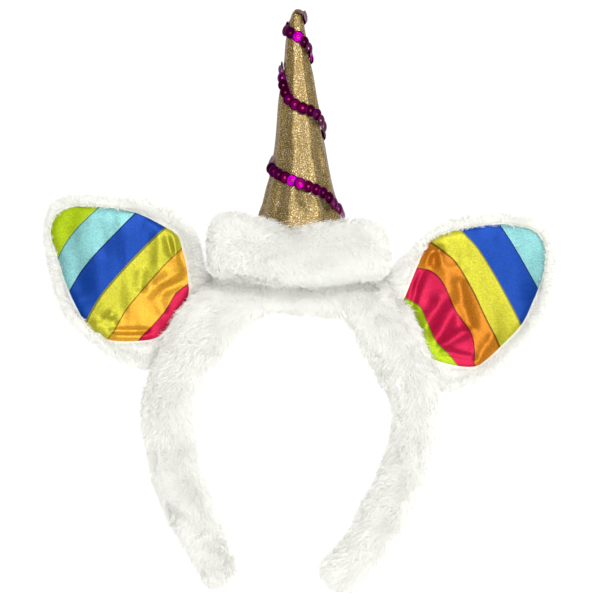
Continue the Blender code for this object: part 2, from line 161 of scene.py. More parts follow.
# sRGB hex to linear: s / 12.92 near black, else ((s + 0.055) / 1.055)^2.4
def colour(code):
    share = np.array([int(code[k:k + 2], 16) / 255 for k in (0, 2, 4)])
    return (*np.where(share < 0.04045, share / 12.92, ((share + 0.055) / 1.055) ** 2.4), 1.0)


# A Principled finish with its sockets set by name
def newLook(name, **settings):
    look = bpy.data.materials.new(name)
    look.use_nodes = True
    shader = look.node_tree.nodes["Principled BSDF"]
    for socket, value in settings.items():
        shader.inputs[socket.replace("_", " ")].default_value = value
    return look, look.node_tree.nodes, look.node_tree.links, shader


# A node at a place, with its properties or else its sockets set by name
def addNode(nodes, kind, place=(0, 0), **values):
    node = nodes.new(kind)
    node.location = place
    for key, value in values.items():
        if hasattr(node, key):
            setattr(node, key, value)
        else:
            node.inputs[key.replace("_", " ")].default_value = value
    return node


# Colour stops of a ramp, blended or stepped
def fillRamp(ramp, stops, steps=False):
    ramp.color_ramp.interpolation = "CONSTANT" if steps else "LINEAR"
    band = ramp.color_ramp.elements
    while len(band) > 1:
        band.remove(band[-1])
    band[0].position, band[0].color = stops[0]
    for place, shade in stops[1:]:
        band.new(place).color = shade


# shade: painted shade at the strands' roots; backing: painted darker than the strands as shade deep in the
# pile
plush = {
    "strand": "FFFFFC", "shade": "F2F2E8", "backing": "E2E2D6", "old": "F8F8F2", "roughness": 0.85,
}


# Strand colour: root to tip along V, with painted shade darkening the roots, from strand to strand along U
def plushLook():
    look, nodes, links, shader = newLook("whitePlush", Roughness=plush["roughness"], Sheen_Weight=0.25,
                                         Sheen_Roughness=0.5, Specular_IOR_Level=0.2)
    place = addNode(nodes, "ShaderNodeUVMap", (-900, 200), uv_map="OFBake")
    split = addNode(nodes, "ShaderNodeSeparateXYZ", (-700, 200))
    rise = addNode(nodes, "ShaderNodeValToRGB", (-500, 300))
    # Painted shade: the root end of each strand is darker, rising to the strand colour by mid-length
    fillRamp(rise, [(0.0, colour(plush["shade"])), (0.55, colour(plush["strand"]))])
    vary = addNode(nodes, "ShaderNodeValToRGB", (-500, 50))
    fillRamp(vary, [(0.0, colour(plush["old"])), (0.5, (1, 1, 1, 1))])
    blend = addNode(nodes, "ShaderNodeMix", (-200, 200), data_type="RGBA", blend_type="MULTIPLY")
    blend.inputs[0].default_value = 1
    links.new(place.outputs[0], split.inputs[0])
    links.new(split.outputs["Y"], rise.inputs[0])
    links.new(split.outputs["X"], vary.inputs[0])
    links.new(rise.outputs[0], blend.inputs[6])
    links.new(vary.outputs[0], blend.inputs[7])
    links.new(blend.outputs[2], shader.inputs["Base Color"])
    return look


furLook = plushLook()
# Backing: painted darker than the strands, as shade between the hairs
shadedBackingLook = newLook("plushBackingShade", Base_Color=colour(plush["backing"]), Roughness=0.95,
                      Specular_IOR_Level=0.1)[0]


# Fur

# Strands: from a root, height h*s*(2-s) along the normal and slide*s^2 along the comb, s from 0 to 1.
# Tips in one tuft lean towards the tuft's first one, more so at the sides, where the strands also stand up
# further. A strand is a spindle of two triangles.
def sowFur(name, grid, fur, comb, keep, stand=None, size=None):
    seed = fur["seed"]
    dice = np.random.default_rng([seed, *name.encode()])
    cols = grid.shape[1]
    along, across, facing = gridWays(grid)
    area = np.linalg.norm(np.cross(along, across), axis=-1)
    front = np.clip(facing[..., 2] * 1.6 + 0.7, 0, 1)
    weight = (area * keep * (fur["backShare"] + (1 - fur["backShare"]) * front))[:-1]
    cell = dice.choice(weight.size, fur["strands"], p=weight.ravel() / weight.sum())
    i, j = np.unravel_index(cell, weight.shape)
    f, g = dice.random((2, len(i), 1))

    def sample(field):
        a, b = field[i, j], field[i, (j + 1) % cols]
        c, d = field[i + 1, j], field[i + 1, (j + 1) % cols]
        return (a * (1 - g) + b * g) * (1 - f) + (c * (1 - g) + d * g) * f

    root = sample(grid)
    up = unit(sample(facing))
    way = sample(comb) + fur["swirl"] * driftWay(root, fur["swirlSize"], seed) \
        + fur["stray"] * dice.normal(size=root.shape)
    way = unit(way - (way * up).sum(-1, keepdims=True) * up)
    length = fur["length"] * dice.uniform(0.75, 1.15, (len(i), 1))
    length = length * (1 + 0.1 * drift(root, 9 * mm, seed + 7))[:, None]
    edge = 1 - abs(up[:, 2:])
    wisp = dice.random((len(i), 1)) < fur["wisps"] * (1 + 2 * edge)
    length = np.where(wisp, length * 1.35, length)
    lift = fur["lift"] * dice.uniform(0.75, 1.2, (len(i), 1)) * np.where(wisp, 1.25, 1) * (1 + 0.1 * edge)
    if stand is not None:
        lift = lift * sample(stand[..., None])
    if size is not None:
        length = length * sample(size[..., None])
    high = length * np.minimum(lift, 0.97)
    slide = np.sqrt(length**2 - high**2)
    root = root - up * 0.4 * mm

    rowStep = np.linalg.norm(along, axis=-1).mean()
    colStep = np.linalg.norm(across, axis=-1).mean()
    wander = np.stack([drift(root, 7 * mm, seed + 11), drift(root, 7 * mm, seed + 12)], axis=-1)
    wander = fur["tuft"] * wander
    spot = np.hstack([(i[:, None] + f) * rowStep, (j[:, None] + g) * colStep]) + wander
    tile = np.floor(spot / fur["tuft"]).astype(int)
    first, member = np.unique(tile[:, 0] * 8192 + tile[:, 1], return_index=True, return_inverse=True)[1:]
    lead = first[member]
    tip = root + up * high + way * slide
    pull = fur["clump"] * dice.uniform(0.2, 1, (len(i), 1)) * (1 + 1.3 * edge)
    pull = np.minimum(pull, 0.9)
    tip = tip + pull * (tip[lead] + 0.25 * (root - root[lead]) - tip)
    waist = root + up * high * 0.66 + way * slide * 0.2 + pull * 0.3 * (root[lead] - root)

    side = unit(np.cross(unit(tip - root), dice.normal(size=root.shape)))
    half = fur["width"] / 2 * dice.uniform(0.7, 1.3, (len(i), 1))
    blade = np.stack([root, waist - side * half, waist + side * half, tip], axis=1)
    blade[..., 2] = np.maximum(blade[..., 2], hairGap)
    makeBlades(name, blade, dice.random(len(i)))
    return len(i)


# Spindles of root, two waist points and tip, as triangles 0-1-2 and 1-3-2, shade along U and rise along V
def makeBlades(name, blade, shade):
    count = len(blade)
    order = [0, 1, 2, 1, 3, 2]
    corners = (np.arange(count)[:, None] * 4 + np.array(order)).astype(np.int32)
    mesh = bpy.data.meshes.new(name)
    mesh.vertices.add(count * 4)
    mesh.vertices.foreach_set("co", blade.astype(np.float32).ravel())
    mesh.loops.add(count * 6)
    mesh.loops.foreach_set("vertex_index", corners.ravel())
    mesh.polygons.add(count * 2)
    mesh.polygons.foreach_set("loop_start", np.arange(0, count * 6, 3, dtype=np.int32))
    mesh.update(calc_edges=True)
    rise = np.array([0.03, 0.5, 0.5, 0.97])[order]
    aside = np.array([0, -0.01, 0.01, 0])[order]
    flat = np.stack([0.02 + 0.96 * shade[:, None] + aside, np.broadcast_to(rise, (count, 6))], axis=-1)
    mesh.uv_layers.new(name="OFBake").data.foreach_set("uv", flat.astype(np.float32).ravel())
    piece = finishPiece(name, mesh, furLook, smooth=False)
    return piece


# Band: a stuffed sleeve round the arch

band = {
    "halfSpan": 62 * mm, "rise": 151 * mm, "width": 26 * mm, "depth": 26 * mm, "press": 1.5 * mm,
    "shift": (0.44 * mm, 7.51 * mm), "squareness": 2.3, "endRound": 7 * mm,
    "inset": 3.1 * mm, "lumps": 0.45 * mm, "rows": 220, "sides": 40,
    "seamWay": (-0.75, 0.0, 0.66), "seamDepth": 2.0 * mm, "seamWidth": 0.035,
    "sections": [  # across, down, width, depth
        (-0.633, 0.996, 0.76, 0.78), (-0.681, 0.924, 0.76, 0.84), (-0.789, 0.834, 0.87, 0.92),
        (-0.890, 0.744, 0.96, 0.98), (-1.000, 0.635, 0.97, 1.00), (-1.051, 0.523, 1.00, 1.00),
        (-1.080, 0.417, 1.02, 1.00), (-1.043, 0.334, 1.00, 1.00), (-0.934, 0.245, 1.15, 1.02),
        (-0.784, 0.152, 1.24, 1.04), (-0.577, 0.061, 1.12, 1.02), (-0.302, 0.007, 1.05, 1.00),
        (0.000, 0.006, 1.10, 1.00), (0.305, 0.014, 1.13, 1.00), (0.548, 0.063, 1.08, 1.02),
        (0.718, 0.169, 1.24, 1.04), (0.836, 0.274, 1.11, 1.02), (0.907, 0.354, 0.98, 1.00),
        (0.923, 0.440, 0.91, 1.00), (0.887, 0.533, 0.89, 1.00), (0.814, 0.634, 0.93, 1.00),
        (0.696, 0.735, 0.95, 0.98), (0.555, 0.841, 0.89, 0.94), (0.405, 0.918, 0.88, 0.88),
        (0.262, 0.990, 0.95, 0.84),
    ],
}
bandFur = {
    "seed": 12, "strands": 84000, "length": 4.9 * mm, "lift": 0.60, "width": 0.19 * mm, "tuft": 2.2 * mm,
    "clump": 0.38, "swirl": 0.35, "swirlSize": 26 * mm, "stray": 0.36, "wisps": 0.03, "backShare": 0.26,
}


# Middle line of the arch with its width and depth, evenly spaced along its run
def bandLine(count):
    rows = flowThrough(band["sections"], count * 4)
    line = np.column_stack([rows[:, 0] * band["halfSpan"] + band["shift"][0],
                            -rows[:, 1] * band["rise"] + band["shift"][1]])
    run = np.concatenate([[0], np.cumsum(np.linalg.norm(np.diff(line, axis=0), axis=1))])
    even = np.linspace(0, run[-1], count)
    spread = [np.interp(even, run, column) for column in np.column_stack([line, rows[:, 2:]]).T]
    return np.column_stack(spread[:2]), spread[2] * band["width"], spread[3] * band["depth"]


# Section: a soft box of the sleeve's half width and half depth less the pile, carried along the line
def bandGrid(inset):
    line, width, depth = bandLine(band["rows"])
    share = taperEnds(line, band["endRound"])
    out = unit(np.gradient(line, axis=0)) @ np.array([[0, 1], [-1, 0]])
    turn = np.linspace(0, 2 * math.pi, band["sides"], endpoint=False)
    across, lift = softBox(turn, band["squareness"])
    half = np.maximum(width / 2 * share - inset, 0.3 * mm)[:, None] * across
    tall = np.maximum(depth / 2 * share - inset, 0.3 * mm)[:, None] * lift
    grid = np.empty((band["rows"], band["sides"], 3))
    grid[..., :2] = line[:, None] + half[..., None] * out[:, None]
    grid[..., 2] = depth[:, None] / 2 - band["press"] + tall
    facing = gridWays(grid)[2]
    seam = np.exp(-(1 - facing @ unit(np.array(band["seamWay"]))) / band["seamWidth"])
    leg = np.clip((-10 * mm - line[:, 1]) / (25 * mm), 0, 1)[:, None]
    relief = band["lumps"] * drift(grid, 17 * mm, 3) - band["seamDepth"] * seam * leg
    grid += facing * (relief * share[:, None])[..., None]
    grid[..., 2] = np.maximum(grid[..., 2], backingGap)
    return grid


# Height over the sleeve's tube: the distance from its middle line, less half its width there
def outsideBand(points, inset=0.0):
    line, width, depth = bandLine(160)
    middle = np.column_stack([line, depth / 2 - band["press"]])
    far = np.linalg.norm(points[:, None, :] - middle[None], axis=-1)
    near = far.argmin(axis=1)
    return far[np.arange(len(points)), near] - width[near] / 2 + inset, middle[near]


# Comb: down each leg by tanh of the place along the arch, and down over the crown between them
def buildBand():
    grid = bandGrid(band["inset"])
    core = skin("bandSleeve", grid, shadedBackingLook)
    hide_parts("band_sleeve")
    along, across, facing = gridWays(grid)
    leg = np.tanh((np.arange(band["rows"]) / band["rows"] - 0.5) * 9)[:, None, None]
    crown = 1 - abs(leg)
    comb = unit(along) * leg * 0.8 + crown * np.array([0.15, -0.8, 0]) + np.array([0, 0, -0.1])
    comb = comb + abs(leg) * facing[..., 2:] * np.array([-0.45, 0, 0])
    clear = np.ones(grid.shape[:2])
    clear[insidePad(grid)] = 0
    cuts = [0, int(band["rows"] * 0.36), int(band["rows"] * 0.64), band["rows"]]
    total = 0
    for name, start, stop in zip(("bandFurLeft", "bandFurCrown", "bandFurRight"), cuts, cuts[1:]):
        part = slice(max(start - 1, 0), stop)
        total += sowFur(name, grid[part], bandFur, comb[part], clear[part])
    print("band:", total, "strands")


# Pad: a bolster across the crown

pad = {
    "length": 93 * mm, "height": 34 * mm, "depth": 48 * mm, "middle": 24.51 * mm, "press": 1.5 * mm,
    "squareness": 3.4, "endRound": 7 * mm, "inset": 3.1 * mm, "endInset": 3.2 * mm, "lumps": 0.5 * mm,
    "rows": 100, "sides": 60,
    "sections": [  # along, lift, height, depth
        (-1.030, 0.053, 0.86, 0.86), (-0.910, 0.062, 0.96, 0.92), (-0.700, 0.058, 1.02, 0.98),
        (-0.400, -0.008, 0.98, 1.00), (0.000, -0.013, 1.03, 1.00), (0.440, -0.026, 0.95, 1.00),
        (0.690, 0.004, 0.91, 0.98), (0.870, -0.015, 0.84, 0.93), (0.985, -0.027, 0.78, 0.86),
    ],
}
padFur = {
    "seed": 21, "strands": 94000, "length": 5.0 * mm, "lift": 0.56, "width": 0.19 * mm, "tuft": 2.0 * mm,
    "clump": 0.30, "swirl": 0.30, "swirlSize": 32 * mm, "stray": 0.36, "wisps": 0.03, "backShare": 0.22,
}


# Section: a soft box of the pad's half height and half depth less the pile, at each place along X
def padGrid(inset):
    rows = flowThrough(pad["sections"], pad["rows"] * 4)
    place = np.linspace(rows[0, 0], rows[-1, 0], pad["rows"])
    rows = np.column_stack([np.interp(place, rows[:, 0], column) for column in rows.T])
    along = rows[:, 0] * pad["length"] / 2
    share = taperEnds(np.column_stack([along, 0 * along]), pad["endRound"])
    along = along * (1 - pad["endInset"] / (pad["length"] / 2)) + band["shift"][0]
    turn = np.linspace(0, 2 * math.pi, pad["sides"], endpoint=False)
    across, lift = softBox(turn, pad["squareness"])
    grid = np.empty((pad["rows"], pad["sides"], 3))
    grid[..., 0] = along[:, None]
    grid[..., 1] = (pad["middle"] + rows[:, 1] * pad["height"])[:, None] \
        + np.maximum(rows[:, 2] * pad["height"] / 2 * share - inset, 0.3 * mm)[:, None] * across
    grid[..., 2] = pad["depth"] / 2 - pad["press"] \
        + np.maximum(rows[:, 3] * pad["depth"] / 2 * share - inset, 0.3 * mm)[:, None] * lift
    facing = gridWays(grid)[2]
    grid += facing * (pad["lumps"] * drift(grid, 22 * mm, 5) * share[:, None])[..., None]
    grid[..., 2] = np.maximum(grid[..., 2], backingGap)
    return grid


# Points under the pad: within its length less 12 mm, over its lower edge by 5 mm
def insidePad(points):
    x, y, z = np.moveaxis(points, -1, 0)
    low = pad["middle"] - pad["height"] / 2 + 5 * mm
    return (abs(x) < pad["length"] / 2 - 12 * mm) & (y > low) & (z > 2 * mm)


# Points inside the sleeve's tube are carried straight out from its middle line to its surface
def clearOfBand(grid, gap):
    flat = grid.reshape(-1, 3)
    high, middle = outsideBand(flat, band["inset"])
    sunk = high < gap
    flat[sunk] += unit(flat[sunk] - middle[sunk]) * (gap - high[sunk])[:, None]
    flat[:, 2] = np.maximum(flat[:, 2], backingGap)
    return flat.reshape(grid.shape), sunk.reshape(grid.shape[:2])


# Comb: down on the lower half, turning up by the share of the half height over the middle
def buildPad():
    grid, sunk = clearOfBand(padGrid(pad["inset"]), 0.3 * mm)
    core = skin("padBolster", grid, shadedBackingLook)
    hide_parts("horn_pad")
    comb = np.zeros_like(grid)
    comb[..., 0] = 0.25 + 0.1 * grid[..., 0] / (pad["length"] / 2)
    comb[..., 1] = -0.5 + 1.3 * np.clip((grid[..., 1] - pad["middle"]) / (pad["height"] / 2), 0, 1)
    comb[..., 2] = 0.05
    print("pad:", sowFur("padFur", grid, padFur, comb, ~sunk * 1.0), "strands")


# Horn: a stuffed cone of gold lame

horn = {
    "length": 110 * mm, "radius": 21.5 * mm, "roundness": 0.9, "base": 34.62 * mm, "level": 22.5 * mm,
    "x": 0.44 * mm, "lobes": 9, "lobeTurn": 0.18, "rows": 150, "sides": 108, "lobeGain": 1.6,
    "groove": 0.9 * mm, "grooveWidth": 2.6 * mm, "crumple": 0.35 * mm,
    "sections": [  # height, radius, lean, fold
        (0.000, 1.000, 0.000, 0.030), (0.064, 0.930, 0.000, 0.030), (0.136, 0.830, 0.000, 0.026),
        (0.200, 0.745, 0.000, 0.022), (0.318, 0.623, 0.000, 0.018), (0.409, 0.547, -0.014, 0.015),
        (0.527, 0.486, -0.033, 0.012), (0.600, 0.435, -0.047, 0.010), (0.709, 0.345, -0.060, 0.008),
        (0.786, 0.285, -0.077, 0.006), (0.864, 0.237, -0.093, 0.004), (0.943, 0.168, -0.090, 0.000),
        (0.982, 0.130, -0.060, 0.000), (1.000, 0.060, -0.050, 0.000),
    ],
    "threads": [(0.30, "524218"), (0.45, "7E662E"), (0.58, "9E8448"), (0.74, "F6EEDA")], "roughness": 0.30,
    # darkest: the lowest share of the painted shade on the folds and sides
    "darkest": 0.8, "edge": "A08848", "metal": 0.7, "gloss": 0.5,
}
sequins = {
    "pitch": 4.2 * mm, "lift": 0.80 * mm, "cup": 0.24 * mm,
    "rings": [0.35 * mm, 0.62 * mm, 0.8 * mm, 2.0 * mm, 3.0 * mm],
    "tilt": 11, "wobble": 6, "sides": 12, "frontTurn": 0.32, "capTurn": 2.5,
    "route": [  # turns from the right by way of the front, share of the horn's length
        (-0.03, 0.045), (0.02, 0.072), (0.08, 0.112), (0.14, 0.165), (0.25, 0.208), (0.43, 0.273),
        (0.50, 0.302), (0.75, 0.385), (1.00, 0.459), (1.12, 0.525), (1.25, 0.556), (1.33, 0.594),
        (1.41, 0.670), (1.50, 0.730), (1.75, 0.764), (2.00, 0.790), (2.07, 0.823), (2.18, 0.861),
        (2.30, 0.886), (2.50, 0.908), (2.75, 0.945), (3.00, 0.966), (3.12, 0.980), (3.30, 0.992),
    ],
    "foil": [(0.0, "2A0014"), (0.4, "50003A"), (0.7, "6A005C"), (0.93, "860080"), (0.98, "C8344F")],
}


# Radius at a height and turn: the section's, plus the fold times a cosine of the turn, which fades out at
# the seam, less a groove under the string. Groove: a bell curve of the height over the nearest pass.
def hornPoint(height, turns, out=0.0, full=True):
    rows = flowThrough(horn["sections"], 400)
    radius, lean, fold = (np.interp(height, rows[:, 0], rows[:, k]) for k in (1, 2, 3))
    wave = np.cos(2 * math.pi * (turns - horn["lobeTurn"]) * horn["lobes"])
    gain = horn["lobeGain"] * np.clip((height - 0.02) / 0.06, 0, 1)
    reach = (radius + (fold * wave * gain if full else fold)) * horn["radius"] + out
    if full:
        path = flowThrough(sequins["route"], 600)
        away = np.full(np.broadcast(height, turns).shape, 1.0)
        for lap in range(4):
            spot = turns % 1 + lap
            nearest = np.interp(spot, path[:, 0], path[:, 1], left=9, right=9)
            away = np.minimum(away, abs(height - nearest) * horn["length"])
        groove = horn["groove"] * np.exp(-((away / horn["grooveWidth"]) ** 2))
        reach = reach - groove * np.clip(radius * 2, 0, 1)
    angle = 2 * math.pi * turns
    x = horn["x"] + lean * horn["radius"] + reach * np.cos(angle)
    z = horn["level"] + reach * horn["roundness"] * np.sin(angle)
    return np.stack([x, horn["base"] + height * horn["length"] + 0 * angle, z], axis=-1)


# Lame: metal threads whose colour and tilt change from one half-millimetre speck to the next, on a
# slanting rib, with painted shade that darkens the folds and the parts facing sideways
def lameLook():
    look, nodes, links, shader = newLook("goldLame", Metallic=horn["metal"], Roughness=horn["roughness"],
                                         Specular_Tint=colour(horn["edge"]), Coat_Weight=horn["gloss"],
                                         Coat_Roughness=0.15)
    place = addNode(nodes, "ShaderNodeTexCoord", (-1300, 0))
    grain = addNode(nodes, "ShaderNodeTexNoise", (-900, 200), Scale=1900.0, Detail=2.0)
    threads = addNode(nodes, "ShaderNodeValToRGB", (-600, 300))
    fillRamp(threads, [(spot, colour(code)) for spot, code in horn["threads"]])
    # Painted shade from the mesh attribute: the ramp scales the threads' colour down to the darkest share
    paintedShade = addNode(nodes, "ShaderNodeAttribute", (-900, 500), attribute_name="paintedShade")
    paintedShadeRamp = addNode(nodes, "ShaderNodeValToRGB", (-600, 600))
    fillRamp(paintedShadeRamp, [(0.0, (1, 1, 1, 1)), (1.0, (*[horn["darkest"]] * 3, 1))])
    blend = addNode(nodes, "ShaderNodeMix", (-300, 300), data_type="RGBA", blend_type="MULTIPLY")
    blend.inputs[0].default_value = 1
    ribTurn = addNode(nodes, "ShaderNodeMapping", (-1100, -200))
    ribTurn.inputs["Rotation"].default_value = (0, 0, math.radians(35))
    rib = addNode(nodes, "ShaderNodeTexWave", (-900, -200), Scale=330.0, Distortion=1.5)
    bumpGrain = addNode(nodes, "ShaderNodeBump", (-300, 0), Strength=0.28, Distance=0.0005)
    bumpRib = addNode(nodes, "ShaderNodeBump", (-600, -200), Strength=0.3, Distance=0.0004)
    links.new(place.outputs["Object"], grain.inputs["Vector"])
    links.new(place.outputs["Object"], ribTurn.inputs["Vector"])
    links.new(ribTurn.outputs[0], rib.inputs["Vector"])
    links.new(grain.outputs["Fac"], threads.inputs[0])
    links.new(paintedShade.outputs["Fac"], paintedShadeRamp.inputs[0])
    links.new(threads.outputs[0], blend.inputs[6])
    links.new(paintedShadeRamp.outputs[0], blend.inputs[7])
    links.new(blend.outputs[2], shader.inputs["Base Color"])
    links.new(rib.outputs["Fac"], bumpRib.inputs["Height"])
    links.new(grain.outputs["Fac"], bumpGrain.inputs["Height"])
    links.new(bumpRib.outputs[0], bumpGrain.inputs["Normal"])
    links.new(bumpGrain.outputs[0], shader.inputs["Normal"])
    links.new(bumpGrain.outputs[0], shader.inputs["Coat Normal"])
    return look


# Painted shade: how far the cloth faces sideways, plus how deep it is in a lengthwise fold
def buildHorn():
    height = np.linspace(0, 1, horn["rows"])[:, None] ** 0.97
    turns = np.linspace(0, 1, horn["sides"], endpoint=False)[None]
    grid = hornPoint(height + 0 * turns, turns + 0 * height)
    facing = gridWays(grid)[2]
    fade = np.clip(1 - height, 0.2, 1) * np.clip(height * 12, 0, 1)
    stretched = grid * np.array([1, 0.35, 1])
    grid = grid + facing * (horn["crumple"] * drift(stretched, 8 * mm, 9) * fade)[..., None]
    fold = (0.5 - 0.5 * np.cos(2 * math.pi * (turns - horn["lobeTurn"]) * horn["lobes"])) ** 0.7
    # Painted shade, darker where the cloth faces sideways and deep in the lengthwise folds
    sideways = np.clip(1.0 - 1.4 * abs(gridWays(grid)[2][..., 2]), 0, 1)
    paintedShade = sideways + 0.75 * fold * np.clip(fade * 1.6, 0, 1)
    piece = skin("lameHorn", grid, lameLook())
    paintedShade = np.append(np.clip(paintedShade, 0, 1).ravel(), [1, 0])
    piece.data.attributes.new("paintedShade", "FLOAT", "POINT").data.foreach_set("value", paintedShade)
    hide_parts("horn")
    print("horn:", grid.shape[0] * grid.shape[1], "points")


# Foil: one shade to a disc, pale round its hole
def foilLook():
    look, nodes, links, shader = newLook("magentaFoil", Metallic=1.0, Roughness=0.28)
    place = addNode(nodes, "ShaderNodeUVMap", (-700, 0), uv_map="OFBake")
    split = addNode(nodes, "ShaderNodeSeparateXYZ", (-500, 0))
    tint = addNode(nodes, "ShaderNodeValToRGB", (-300, 0))
    fillRamp(tint, [(spot, colour(code)) for spot, code in sequins["foil"]])
    links.new(place.outputs[0], split.inputs[0])
    links.new(split.outputs["X"], tint.inputs[0])
    links.new(tint.outputs[0], shader.inputs["Base Color"])
    return look


# Sequins: one shallow cup (rings from the hole to the rim, height cup*(r/R)^2), copied along the route
# with its back edge over the one before
def buildSequins():
    path = flowThrough(sequins["route"], 900)
    line = hornPoint(path[:, 1], path[:, 0], sequins["lift"], full=False)
    run = np.concatenate([[0], np.cumsum(np.linalg.norm(np.diff(line, axis=0), axis=1))])
    even = np.arange(0, run[-1], sequins["pitch"])
    middle = np.column_stack([np.interp(even, run, column) for column in line.T])
    turns, height = (np.interp(even, run, column) for column in path.T)
    sweep = hornPoint(height, turns + 0.01, sequins["lift"], full=False) - middle
    rise = hornPoint(height + 0.01, turns, sequins["lift"], full=False) - middle
    out = unit(np.cross(rise, sweep))
    out = unit(out + np.array([0, 0, sequins["frontTurn"]]) * (out[:, 2:] > -0.3))
    out = unit(out + np.array([0, sequins["capTurn"], 0]) * np.clip((height[:, None] - 0.965) / 0.02, 0, 1))
    ahead = np.gradient(middle, axis=0)
    ahead = unit(ahead - (ahead * out).sum(-1, keepdims=True) * out)
    side = np.cross(out, ahead)
    dice = np.random.default_rng(31)
    tilt = np.radians(sequins["tilt"] + sequins["wobble"] * dice.normal(size=(len(even), 1)))
    roll = np.radians(sequins["wobble"] * dice.normal(size=(len(even), 1)))
    out, ahead = out * np.cos(tilt) - ahead * np.sin(tilt), ahead * np.cos(tilt) + out * np.sin(tilt)
    out, side = out * np.cos(roll) - side * np.sin(roll), side * np.cos(roll) + out * np.sin(roll)
    rings = np.array(sequins["rings"])
    high = sequins["cup"] * (rings / rings[-1]) ** 2
    turn = np.linspace(0, 2 * math.pi, sequins["sides"], endpoint=False)
    flatX, flatY = rings[:, None] * np.cos(turn), rings[:, None] * np.sin(turn)
    cup = np.stack([flatX, flatY, high[:, None] + 0 * flatX], axis=-1).reshape(-1, 3)
    stand = np.stack([ahead, side, out], axis=1)
    points = middle[:, None] + cup @ stand
    cols = sequins["sides"]
    spots = np.arange(len(cup)).reshape(len(rings), cols)
    onward = np.roll(spots, -1, axis=1)
    quads = np.stack([spots[:-1], spots[1:], onward[1:], onward[:-1]], axis=-1).reshape(-1, 4)
    faces = (np.arange(len(even))[:, None, None] * len(cup) + quads).reshape(-1, 4)
    mesh = bpy.data.meshes.new("sequinString")
    mesh.from_pydata(points.reshape(-1, 3).tolist(), [], faces.tolist())
    shade = np.clip(0.45 + 0.25 * dice.normal(size=(len(even), 1)), 0.03, 0.92)
    shade = shade + 0.01 * np.arange(len(rings))
    shade[:, :2] = 0.985
    flat = np.stack([np.repeat(shade.ravel(), cols),
                     np.tile(np.arange(cols) / cols, len(rings) * len(even))], axis=-1)
    mesh.uv_layers.new(name="OFBake").data.foreach_set("uv", flat[faces.ravel()].ravel())
    piece = finishPiece("sequinString", mesh, foilLook())
    wall = piece.modifiers.new("foilThickness", "SOLIDIFY")
    wall.thickness = 0.12 * mm
    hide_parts("sequin_string")
    print("sequins:", len(even))


# Ears: plush shells with striped satin in their hollows

ears = {
    "width": 82 * mm, "height": 87 * mm, "thickness": 15 * mm, "inset": 2.5 * mm, "turns": 132,
    "hollow": 7.4 * mm, "mouth": 10.2 * mm, "lip": 0.3 * mm, "rim": 5,
    "profile": [  # inset and level as shares of the thickness, from the middle of the back to the crest
        (2.20, 0.00), (1.20, 0.00), (0.42, 0.00), (0.20, 0.11), (0.05, 0.30), (0.00, 0.52), (0.05, 0.72),
        (0.13, 0.83), (0.24, 0.87),
    ],
}
earSides = {
    "Left": {
        "middle": (-87.61 * mm, 9.79 * mm),
        "plush": [
            (0.560, -0.020), (0.503, 0.055), (0.472, 0.190), (0.408, 0.318), (0.276, 0.418), (0.092, 0.474),
            (-0.140, 0.492), (-0.372, 0.491), (-0.470, 0.413), (-0.497, 0.240), (-0.450, 0.000),
            (-0.380, -0.188), (-0.268, -0.306), (-0.129, -0.418), (0.015, -0.480), (0.150, -0.508),
            (0.290, -0.390), (0.420, -0.180),
        ],
        "lining": [
            (0.391, 0.005), (0.375, 0.108), (0.357, 0.171), (0.327, 0.258), (0.253, 0.309), (0.064, 0.396),
            (-0.149, 0.430), (-0.301, 0.430), (-0.399, 0.401), (-0.436, 0.350), (-0.454, 0.269),
            (-0.411, 0.120), (-0.338, -0.070), (-0.234, -0.254), (-0.161, -0.306), (-0.076, -0.346),
            (0.113, -0.346), (0.217, -0.317), (0.314, -0.214), (0.388, -0.093),
        ],
    },
    "Right": {
        "middle": (88.17 * mm, 1.74 * mm),
        "plush": [
            (0.493, 0.228), (0.458, 0.374), (0.370, 0.446), (0.257, 0.478), (0.079, 0.484), (-0.079, 0.467),
            (-0.206, 0.426), (-0.325, 0.347), (-0.422, 0.262), (-0.517, 0.165), (-0.575, 0.060),
            (-0.520, -0.110), (-0.400, -0.340), (-0.225, -0.538), (-0.105, -0.535), (0.000, -0.511),
            (0.095, -0.466), (0.165, -0.410), (0.250, -0.333), (0.370, -0.205), (0.452, -0.040),
            (0.481, 0.110),
        ],
        "lining": [
            (0.433, 0.247), (0.415, 0.316), (0.372, 0.376), (0.274, 0.408), (0.149, 0.422), (-0.006, 0.408),
            (-0.104, 0.390), (-0.226, 0.356), (-0.293, 0.310), (-0.366, 0.160), (-0.433, -0.000),
            (-0.457, -0.052), (-0.408, -0.179), (-0.341, -0.294), (-0.268, -0.357), (-0.122, -0.397),
            (-0.006, -0.403), (0.067, -0.363), (0.153, -0.288), (0.281, -0.161), (0.348, -0.035),
            (0.409, 0.114),
        ],
    },
}
earFur = {
    "seed": 41, "strands": 43000, "length": 4.6 * mm, "lift": 0.58, "width": 0.19 * mm, "tuft": 2.0 * mm,
    "clump": 0.32, "swirl": 0.28, "swirlSize": 22 * mm, "stray": 0.36, "wisps": 0.03, "backShare": 0.18,
}


# How far an outline reaches from the ear's middle, at even turns
def earReach(outline, count):
    points = flowThrough(outline, 600, closed=True) * (ears["width"], ears["height"])
    angle = np.arctan2(points[:, 1], points[:, 0]) % (2 * math.pi)
    turn = np.linspace(0, 2 * math.pi, count, endpoint=False)
    return turn, np.interp(turn, angle, np.hypot(points[:, 0], points[:, 1]), period=2 * math.pi)


